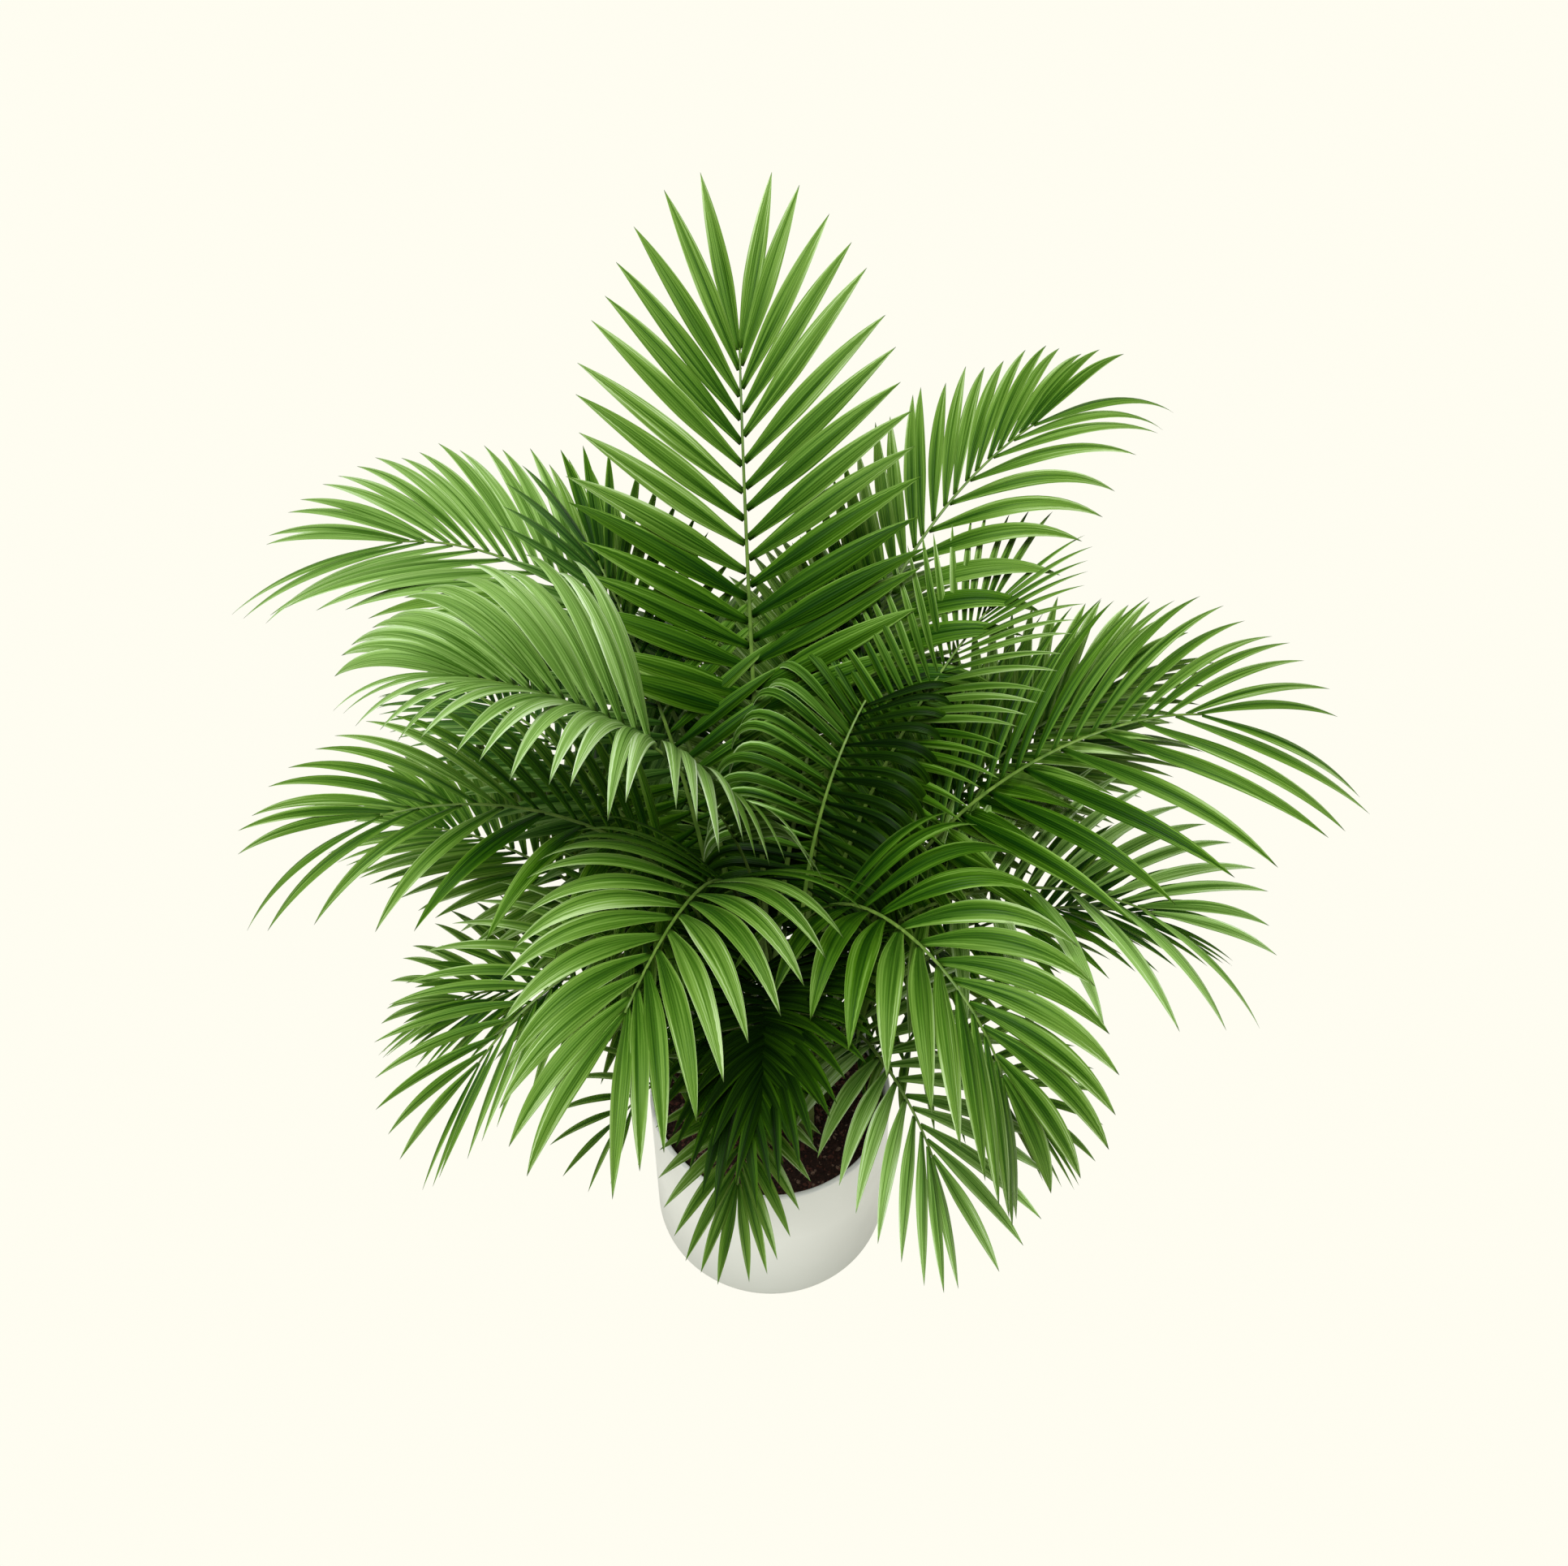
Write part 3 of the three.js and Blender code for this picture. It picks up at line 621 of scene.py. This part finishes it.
# towards, swing, lift and fall are degrees, length and leaf are the rib's and a leaflet's length
# in millimetres, and bare is the share of the rib without leaflets; a frond stands on its cane's
# top, or drop millimetres below it on the side that stand names
fronds = {
    "frond_top": {
        "cane": "cane_back", "towards": 98, "swing": -6, "lift": 74, "fall": 36, "bend": 1.5,
        "length": 795, "leaf": 228, "bare": 0.49, "raise": 14, "droop": 0.5, "wide": 62,
        "closing": 4, "opening": 4, "spacing": 25, "width": 29, "shaded": 0.38,
    },
    "frond_front_left": {
        "cane": "cane_middle_left", "towards": 256, "swing": -6, "lift": 91, "fall": 98,
        "bend": 1.9, "length": 715, "leaf": 200, "bare": 0.53, "raise": 25, "droop": 1.7,
        "wide": 51, "narrow": 18, "curl": 0.3, "spacing": 25, "width": 28,
    },
    "frond_front_right": {
        "cane": "cane_middle_right", "towards": 317, "swing": -13, "lift": 91, "fall": 152,
        "bend": 2.1, "length": 668, "leaf": 205, "bare": 0.53, "raise": 28, "droop": 1.8,
        "wide": 50, "curl": 0.4, "spacing": 26, "width": 30, "shaded": 0.3,
    },
    "frond_left_arch": {
        "cane": "cane_middle_right", "drop": 25, "towards": 206, "swing": -19, "lift": 87,
        "fall": 67, "bend": 2.6, "length": 848, "leaf": 228, "bare": 0.52, "raise": 41,
        "droop": 1.65, "wide": 50, "narrow": 14, "opening": -8, "curl": 0.2, "tapering": 0.32,
        "oneSided": 0.45, "spacing": 18, "width": 24, "tint": "fresh",
    },
    # painted shade: this frond's right side takes the dark tint
    "frond_centre_arch": {
        "cane": "cane_middle_right", "drop": 25, "towards": 78, "swing": -18, "lift": 86,
        "fall": 76, "bend": 2.6, "length": 505, "leaf": 185, "bare": 0.48, "raise": 26,
        "droop": 10, "hanging": 4, "wide": 84, "narrow": 44, "opening": 0, "curl": 0,
        "spacing": 12.5, "width": 15, "shadedSide": 1, "tint": "arched",
    },
    "frond_right_upper": {
        "cane": "cane_back_right", "towards": 92, "swing": -55, "lift": 77, "fall": 68.5,
        "bend": 1.4, "length": 795, "leaf": 190, "bare": 0.48, "raise": 20, "droop": 0.9,
        "wide": 46, "opening": 3, "curl": 0.35, "spacing": 18, "width": 20, "shaded": 0.35,
        "sparseSide": 1,
    },
    "frond_left_upper": {
        "cane": "cane_back_left", "towards": 89, "swing": 80, "lift": 80, "fall": 94.5, "bend": 1,
        "length": 755, "leaf": 245, "bare": 0.58, "raise": 14, "droop": 0.75, "wide": 42,
        "opening": 0, "curl": 0.45, "spacing": 17, "width": 19, "sparseSide": -1, "tint": "fresh",
    },
    "frond_right": {
        "cane": "cane_right", "towards": 15, "swing": -2, "lift": 77, "fall": 95, "bend": 2.4,
        "length": 712, "leaf": 245, "bare": 0.52, "raise": 5, "droop": 1.0, "wide": 53,
        "opening": 0, "curl": 0.75, "shaded": 0.45, "spacing": 20, "width": 17, "sparseSide": 1,
    },
    "frond_left": {
        "cane": "cane_left", "towards": 179, "swing": 11, "lift": 92, "fall": 104, "bend": 1.9,
        "length": 715, "leaf": 195, "bare": 0.51, "raise": 20, "droop": 1.1, "wide": 46,
        "opening": 0, "curl": 0.4, "spacing": 21, "width": 17, "sparseSide": -1, "shaded": 0.55,
    },
    "frond_left_lower": {
        "cane": "cane_front_left", "towards": 218, "swing": 4, "lift": 97, "fall": 140,
        "bend": 1.9, "length": 685, "leaf": 168, "bare": 0.5, "droop": 0.8, "wide": 56,
        "opening": 5, "curl": 0.35, "spacing": 21, "width": 17, "shaded": 0.35,
    },
    "frond_right_lower": {
        "cane": "cane_right", "drop": 15, "stand": 322, "towards": 351, "swing": -4, "lift": 87,
        "fall": 111, "bend": 1.8, "length": 605, "leaf": 190, "bare": 0.49, "droop": 0.9,
        "wide": 58, "opening": 8, "width": 18, "sparseSide": 1, "tint": "fresh",
    },
    "frond_pot_right": {
        "cane": "cane_front_right", "towards": 302, "swing": -5, "lift": 91, "fall": 133,
        "bend": 1.7, "length": 475, "leaf": 170, "bare": 0.44, "spacing": 18, "width": 25,
        "tint": "fresh",
    },
    "frond_pot_front": {
        "cane": "cane_front", "towards": 260, "swing": 5, "lift": 92, "fall": 134, "bend": 1.7,
        "length": 385, "leaf": 127, "bare": 0.4, "droop": 0.4, "wide": 60, "spacing": 15,
        "width": 30, "shaded": 0,
    },
    "frond_right_shoulder": {
        "cane": "cane_back_right", "drop": 20, "stand": 45, "towards": 45, "lift": 86, "fall": 62,
        "length": 600, "leaf": 155, "bare": 0.46, "droop": 0.8, "spacing": 12, "width": 14,
        "shaded": 0.5,
    },
    # painted shade: this frond's right side takes the deep tint
    "frond_left_shoulder": {
        "cane": "cane_back_left", "drop": 70, "towards": 120, "lift": 84, "fall": 56,
        "length": 615, "leaf": 165, "bare": 0.44, "spacing": 17, "shadedSide": 1, "tint": "blue",
    },
    "frond_right_back": {
        "cane": "cane_right", "drop": 30, "stand": 60, "towards": 28, "lift": 84, "fall": 76,
        "length": 625, "leaf": 165, "bare": 0.42, "droop": 0.8, "spacing": 15, "width": 24,
        "shaded": 0.5,
    },
    # painted shade: the dark tint on these two fronds in the crown's heart
    "frond_front_inner": {
        "cane": "cane_middle_right", "drop": 40, "stand": 250, "towards": 266, "lift": 88,
        "fall": 78, "length": 540, "leaf": 155, "bare": 0.28, "raise": 35, "droop": 0.9,
        "spacing": 14, "width": 26, "tint": "dark",
    },
    "frond_centre_low": {
        "cane": "cane_middle_left", "drop": 50, "stand": 300, "towards": 268, "lift": 88,
        "fall": 84, "length": 560, "leaf": 150, "bare": 0.26, "raise": 35, "droop": 0.9,
        "spacing": 14, "width": 26, "tint": "dark",
    },
    # painted shade: the deep tint on this inner frond
    "frond_left_inner": {
        "cane": "cane_left", "drop": 25, "towards": 194, "lift": 86, "fall": 118, "length": 410,
        "leaf": 135, "bare": 0.28, "droop": 0.9, "spacing": 18, "width": 20, "tint": "deep",
    },
    "frond_right_front_low": {
        "cane": "cane_front_right", "drop": 20, "towards": 330, "lift": 84, "fall": 122,
        "length": 410, "leaf": 130, "bare": 0.42, "droop": 0.9, "spacing": 19, "width": 19,
    },
    # painted shade: the deep tint on this inner frond
    "frond_right_inner": {
        "cane": "cane_right", "drop": 55, "stand": 5, "towards": 0, "lift": 82, "fall": 104,
        "length": 525, "leaf": 150, "bare": 0.28, "droop": 0.9, "spacing": 17, "width": 20,
        "tint": "deep",
    },
    "frond_left_front_low": {
        "cane": "cane_front_left", "drop": 20, "towards": 228, "lift": 88, "fall": 110,
        "length": 290, "leaf": 105, "bare": 0.42, "droop": 0.9, "spacing": 18, "width": 20,
    },
    "frond_back_right": {
        "cane": "cane_back", "drop": 25, "towards": 74, "lift": 80, "fall": 104, "length": 580,
        "leaf": 190, "bare": 0.26, "droop": 0.9, "spacing": 14, "width": 25,
    },
    # painted shade: the deep tint on this frond under the crown
    "frond_back": {
        "cane": "cane_back", "drop": 45, "towards": 104, "lift": 78, "fall": 110, "length": 540,
        "leaf": 180, "bare": 0.24, "droop": 0.9, "spacing": 13, "width": 27, "tint": "deep",
    },
    "frond_back_left": {
        "cane": "cane_back_left", "drop": 95, "stand": 175, "towards": 140, "lift": 80,
        "fall": 104, "length": 580, "leaf": 180, "bare": 0.26, "droop": 0.9, "spacing": 15,
        "tint": "blue",
    },
    "frond_left_back_low": {
        "cane": "cane_left", "drop": 50, "towards": 156, "lift": 80, "fall": 108, "length": 540,
        "leaf": 175, "bare": 0.24, "droop": 0.9, "spacing": 14, "width": 25,
    },
    "frond_right_back_low": {
        "cane": "cane_back_right", "drop": 45, "stand": 10, "towards": 30, "lift": 80, "fall": 104,
        "length": 570, "leaf": 180, "bare": 0.24, "droop": 0.9, "spacing": 14, "width": 25,
    },
    # painted shade: the deep tint on these two fronds under the crown
    "frond_back_low": {
        "cane": "cane_back", "drop": 95, "stand": 60, "towards": 80, "lift": 74, "fall": 112,
        "length": 410, "leaf": 150, "bare": 0.2, "droop": 0.9, "spacing": 13, "width": 27,
        "tint": "deep",
    },
    "frond_back_left_low": {
        "cane": "cane_back_left", "drop": 140, "stand": 130, "towards": 125, "lift": 74,
        "fall": 108, "length": 420, "leaf": 150, "bare": 0.2, "droop": 0.9, "spacing": 13,
        "width": 27, "tint": "deep",
    },
    "frond_right_side_low": {
        "cane": "cane_right", "drop": 90, "stand": 24, "towards": 20, "lift": 74, "fall": 112,
        "length": 430, "leaf": 150, "bare": 0.2, "droop": 0.9, "spacing": 17, "width": 20,
    },
    "frond_left_side_low": {
        "cane": "cane_left", "drop": 80, "towards": 180, "lift": 74, "fall": 110, "length": 410,
        "leaf": 150, "bare": 0.2, "droop": 0.9, "spacing": 17, "width": 20,
    },
}


def directionOf(bearing, rise):
    level = math.cos(rise)
    return Vector((level * math.cos(bearing), level * math.sin(bearing), math.sin(rise)))


def footOf(frond):
    look = frondLook
    x, y, top = canes[frond["cane"]]
    if "drop" not in frond:
        return Vector((x, y, top + look["clearance"]))
    side = frond.get("stand", frond["towards"] + frond["swing"] / 2)
    outward = directionOf(math.radians(side), 0)
    height = top - frond["drop"]
    forward, right, up = headingAt(frond, 0)
    # how far the stalk's own section reaches back towards the cane
    depth = max(-look["footHeight"] * up.dot(outward), look["footWidth"] / 2 * abs(right.dot(outward)))
    away = caneRadiusAt(frond["cane"], height) + look["clearance"] + depth
    return Vector((x, y, height)) + outward * away


def headingAt(frond, s):
    bearing = math.radians(frond["towards"] + frond["swing"] * s)
    rise = math.radians(frond["lift"] - frond["fall"] * s ** frond["bend"])
    forward = directionOf(bearing, rise)
    right = Vector((math.sin(bearing), -math.cos(bearing), 0))
    return forward, right, right.cross(forward)


def midribOf(frond):
    steps = frondLook["steps"]
    points = [footOf(frond)]
    for i in range(steps):
        forward = headingAt(frond, (i + 0.5) / steps)[0]
        points.append(points[-1] + forward * frond["length"] / steps)

    def pointAt(s):
        place = min(max(s, 0), 1) * steps
        low = min(int(place), steps - 1)
        return points[low].lerp(points[low + 1], place - low)
    return pointAt


# along a rib, s runs from its foot to its tip, and t over the leafy part alone

def ribSizeAt(s):
    look = frondLook
    share = s ** look["thinning"]
    width = blendOf(look["footWidth"], look["tipWidth"], share)
    height = blendOf(look["footHeight"], look["tipHeight"], share)
    return width, height


def placeAlong(frond, t):
    return frond["bare"] + (1 - frond["bare"]) * (1 - (1 - t) ** frondLook["crowding"])


def leafLengthAt(frond, t):
    # longest a little past the middle of the leafy part
    even = 0.75 + 0.25 * math.sin(math.pi * (0.15 + 0.6 * t)) - 0.05 * t
    return even * (1 - frond["tapering"] * t ** 3)


def leafAngleAt(frond, t):
    even = frond["wide"] - frondLook["lean"] * t
    atTip = (frond["wide"] - frondLook["lean"] - frond["narrow"]) * t ** frond["closing"]
    return even - atTip + frond["opening"] * (1 - t) ** 3


def leafWidthAt(u):
    # u runs along the leaflet, from its root to its point
    look = leafletLook
    widest = look["widestAt"]
    grown = look["rootWidth"] + (1 - look["rootWidth"]) * smoothStep(-0.1, widest, u)
    tapered = 1 - max(0, (u - widest) / (1 - widest)) ** look["pointShape"]
    return max(grown * tapered, look["pointWidth"])


def growLeaflet(frond, midrib, t, side, seeded):
    look = leafletLook
    sideLook = sparseLook if side == frond["sparseSide"] else evenLook
    s = placeAlong(frond, t)
    forward, right, up = headingAt(frond, s)
    spread = leafAngleAt(frond, t) + sideLook["turn"] + seeded.uniform(-1, 1) * look["turnSpread"]
    spread = math.radians(spread)
    lift = math.radians(frond["raise"] + seeded.uniform(-1, 1) * look["riseSpread"])
    start = forward * math.cos(spread) + right * (side * math.sin(spread) * math.cos(lift))
    start += up * (math.sin(spread) * math.sin(lift))
    rootAcross = (forward - start * forward.dot(start)).normalized()
    length = frond["leaf"] * leafLengthAt(frond, t) * sideLook["length"]
    length *= 1 + seeded.uniform(-1, 1) * look["lengthSpread"]
    width = frond["width"] * (1 - look["tipNarrowing"] * t) * sideLook["width"]
    width *= min(1, frond["leaf"] / look["fullLength"])
    twist = math.radians(seeded.uniform(-1, 1) * look["twist"])
    droop = frond["droop"] * sideLook["droop"]
    droop *= 1 + seeded.uniform(-1, 1) * look["droopSpread"]
    ribWidth, ribHeight = ribSizeAt(s)
    seatOut, seatUp = look["seat"]
    point = midrib(s) + up * ribHeight * seatUp + right * (side * ribWidth * seatOut)
    rings = []
    for row in range(look["rows"] + 1):
        u = row / look["rows"]
        hang = down * (droop * u ** frond["hanging"])
        step = (start + hang + forward * (frond["curl"] * u)).normalized()
        across = start.rotation_difference(step) @ rootAcross
        across.rotate(Matrix.Rotation(twist * u * u, 3, step))
        above = step.cross(across) * side
        half = side * width * leafWidthAt(u) / 2
        fold = look["foldHeight"] * leafWidthAt(u) * (1 - look["flattening"] * u)
        under = fold - look["thickness"] * (1 - look["thinning"] * u)
        rings.append([
            point - across * half,
            point + above * fold,
            point + across * half,
            point + above * under,
        ])
        point = point + step * (length / look["rows"])
    return rings


def leafletMesh(name, leaflets, seeded):
    # each leaflet is a thin folded strip of quads, closed at both ends
    places = np.array([[[list(p) for p in ring] for ring in rings] for rings in leaflets]) * mm
    count, rows, sides = places.shape[:3]
    faces = [[3, 2, 1, 0]]
    for low in range(0, sides * (rows - 1), sides):
        high = low + sides
        for k in range(sides):
            after = (k + 1) % sides
            faces.append([low + k, low + after, high + after, high + k])
    last = sides * (rows - 1)
    faces.append([last, last + 1, last + 2, last + 3])
    firsts = sides * rows * np.arange(count)
    allFaces = (np.array(faces)[None] + firsts[:, None, None]).reshape(-1, 4)
    mesh = bpy.data.meshes.new(name)
    mesh.from_pydata(places.reshape(-1, 3).tolist(), [], allFaces.tolist())

    # the blade's own map: across from margin to margin, and along from root to point
    across = np.array([0, 0.5, 1, 0.5])
    corner = allFaces.ravel() % (sides * rows)
    uv = np.stack([across[corner % sides], (corner // sides) / (rows - 1)], axis=1)
    mesh.uv_layers.new(name="leafUv").data.foreach_set("uv", uv.ravel().astype(np.float32))
    mesh.polygons.foreach_set("use_smooth", np.ones(len(allFaces), bool))
    shades = np.repeat([seeded.random() for leaf in leaflets], sides * rows).astype(np.float32)
    mesh.attributes.new("leafShade", "FLOAT", "POINT").data.foreach_set("value", shades)

    # the fold and the margins stay crisp
    ends = np.zeros(len(mesh.edges) * 2, int)
    mesh.edges.foreach_get("vertices", ends)
    lengthwise = np.abs(np.diff(ends.reshape(-1, 2), axis=1)).ravel() == sides
    sharp = mesh.attributes.new("sharp_edge", "BOOLEAN", "EDGE")
    sharp.data.foreach_set("value", lengthwise)
    return mesh


def growMidrib(frond, midrib):
    look = frondLook
    rings = []
    for row in range(look["midribRows"]):
        s = row / (look["midribRows"] - 1)
        forward, right, up = headingAt(frond, s)
        width, height = ribSizeAt(s)
        centre = midrib(s) + up * height * 0.5
        ring = []
        for k in range(look["midribSides"]):
            angle = 2 * math.pi * k / look["midribSides"]
            groove = look["groove"] if k in (2, 3) else 1
            out = right * (0.5 * width * math.cos(angle))
            ring.append(centre + out + up * (0.5 * height * math.sin(angle) * groove))
        rings.append(ring)
    return rings


def tubeMesh(name, tubes):
    points, faces = [], []
    for rings in tubes:
        first = len(points)
        sides = len(rings[0])
        points += [point * mm for ring in rings for point in ring]
        for row in range(len(rings) - 1):
            low, high = first + row * sides, first + (row + 1) * sides
            for k in range(sides):
                after = (k + 1) % sides
                faces.append([low + k, high + k, high + after, low + after])
        faces.append([first + k for k in range(sides)])
        faces.append([first + (len(rings) - 1) * sides + k for k in reversed(range(sides))])
    mesh = bpy.data.meshes.new(name)
    mesh.from_pydata([list(point) for point in points], [], faces)
    bm = bmesh.new()
    bm.from_mesh(mesh)
    bmesh.ops.recalc_face_normals(bm, faces=bm.faces)
    for face in bm.faces:
        face.smooth = len(face.verts) == 4   # the ends stay flat
    bm.to_mesh(mesh)
    bm.free()
    return mesh


# for each tint: the blade's root in painted shade, its two middles, and its margins and point in
# painted sheen
leafTints = {
    "fresh": (
        (0.018, 0.054, 0.003), (0.063, 0.130, 0.020), (0.130, 0.222, 0.056), (0.340, 0.430, 0.260),
    ),
    "full": (
        (0.008, 0.032, 0.001), (0.029, 0.075, 0.005), (0.076, 0.147, 0.021), (0.270, 0.362, 0.170),
    ),
    # deep and dark are painted shade, for inner fronds and for leaflets stepped down from a lighter
    # tint
    "deep": (
        (0.002, 0.015, 0.0002), (0.009, 0.035, 0.0006), (0.030, 0.080, 0.003), (0.115, 0.205, 0.038),
    ),
    "dark": (
        (0.0005, 0.004, 0.0001), (0.002, 0.009, 0.0001), (0.006, 0.022, 0.0002), (0.020, 0.054, 0.001),
    ),
    # arched: a darker root and a paler point than full, with more painted shade and painted sheen
    "arched": (
        (0.003, 0.017, 0.0003), (0.014, 0.046, 0.001), (0.065, 0.140, 0.018), (0.360, 0.470, 0.240),
    ),
    "blue": (
        (0.003, 0.016, 0.001), (0.013, 0.042, 0.004), (0.040, 0.090, 0.014), (0.130, 0.210, 0.070),
    ),
}

# leaflets close to the heart of the crown take the next darker tint as painted shade, and dark where
# none is named
paintedShadeTint = {"fresh": "full", "full": "deep", "blue": "deep"}

bladeLook = {
    "ribs": 9,
    "streakScale": (7, 1.3, 40),          # across, along, and from leaflet to leaflet
    "rootShadeToPointSheen": (0.05, 0.55),          # lightness, to which the next four add: painted shade at the root, painted sheen at the point
    # painted sheen, lighter towards the margins
    "foldToMarginSheen": (-0.05, 0.35),
    "streaks": (-0.3, 0.3),
    "ribbing": (-0.07, 0.07),
    "leafToLeaf": (-0.1, 0.12),
    "steps": (0, 0.3, 0.65, 1.05),        # the lightness at which each of a tint's shades is full
    "roughness": (0.42, 0.56),
    "relief": 0.35,
    "reliefDepth": 0.4 * mm,
}


def leafBlade(name, shades):
    look = bladeLook
    maker = MaterialMaker(name)
    split = maker.node("SeparateXYZ")
    maker.link(maker.node("TexCoord").outputs["UV"], split.inputs[0])
    across, along = split.outputs[0], split.outputs[1]
    leaf = maker.node("Attribute", attribute_name="leafShade").outputs["Fac"]
    fromFold = maker.math("ABSOLUTE", maker.math("SUBTRACT", across, 0.5))

    # long soft streaks, other ones on each leaflet
    place = maker.node("CombineXYZ")
    for socket, value, scale in zip(place.inputs, (across, along, leaf), look["streakScale"]):
        maker.link(maker.math("MULTIPLY", value, scale), socket)
    streak = maker.noiseOn(place.outputs[0], 1)
    ribs = maker.math("COSINE", maker.math("MULTIPLY", across, 2 * math.pi * look["ribs"]))

    # painted shade at the root, darker along the fold, and painted sheen at the margins and the point
    lightness = maker.remap(along, 0, 1, *look["rootShadeToPointSheen"])
    for share in (
        maker.remap(fromFold, 0.05, 0.5, *look["foldToMarginSheen"]),
        maker.remap(streak, 0.3, 0.7, *look["streaks"]),
        maker.remap(ribs, -1, 1, *look["ribbing"]),
        maker.remap(leaf, 0, 1, *look["leafToLeaf"]),
    ):
        lightness = maker.math("ADD", lightness, share)
    colour = shades[0]
    for low, high, shade in zip(look["steps"], look["steps"][1:], shades[1:]):
        colour = maker.mixColour(maker.remap(lightness, low, high, 0, 1), colour, shade)
    maker.feed("Base Color", colour)
    maker.feed("Roughness", maker.remap(streak, 0.3, 0.7, *look["roughness"]))
    maker.bump(maker.math("ADD", ribs, streak), look["relief"], look["reliefDepth"])
    maker.fill(Subsurface_Weight=0.03, Subsurface_Scale=0.003, Subsurface_Radius=(0.5, 1, 0.2))
    maker.fill(Specular_IOR_Level=0.04)
    return maker.material


def makeFronds():
    look = leafletLook
    seeded = random.Random(frondLook["seed"])
    leaflets = {tint: [] for tint in leafTints}
    stands = {tint: [] for tint in leafTints}   # the solids that each tint's piece stands for
    tubes = []
    for name, entry in fronds.items():
        frond = {**usualFrond, **entry}
        midrib = midribOf(frond)
        tubes.append(growMidrib(frond, midrib))
        pairs = round(frond["length"] * (1 - frond["bare"]) / frond["spacing"])
        inShade = paintedShadeTint.get(frond["tint"], "dark")
        for pair in range(pairs):
            for side in (1, -1):
                if side > 0 and pair < frond["oneSided"] * (pairs - 1):
                    continue
                if side == frond["sparseSide"] and pair % 2:
                    continue
                place = pair + seeded.uniform(-1, 1) * look["placeSpread"] + look["stagger"] * side
                t = place / (pairs - 1)
                leaf = growLeaflet(frond, midrib, min(max(t, 0), 1), side, seeded)
                # painted shade: leaflets near the crown's heart, or on a named side, take the darker
                # tint
                shaded = t < frond["shaded"] or side == frond["shadedSide"]
                leaflets[inShade if shaded else frond["tint"]].append(leaf)
        stands[frond["tint"]].append(name)
    for tint, shades in leafTints.items():
        mesh = leafletMesh("leaflets_" + tint, leaflets[tint], seeded)
        addPiece("leaflets_" + tint, mesh, [leafBlade("leaf_" + tint, shades)], stands[tint])
        print("leaflets", tint, len(leaflets[tint]))
    skin = stemSkin("midribSkin", frondLook["shades"], frondLook["streakScale"])
    addPiece("midribs", tubeMesh("midribs", tubes), [skin], list(fronds))


makeFronds()
print("fronds grown")
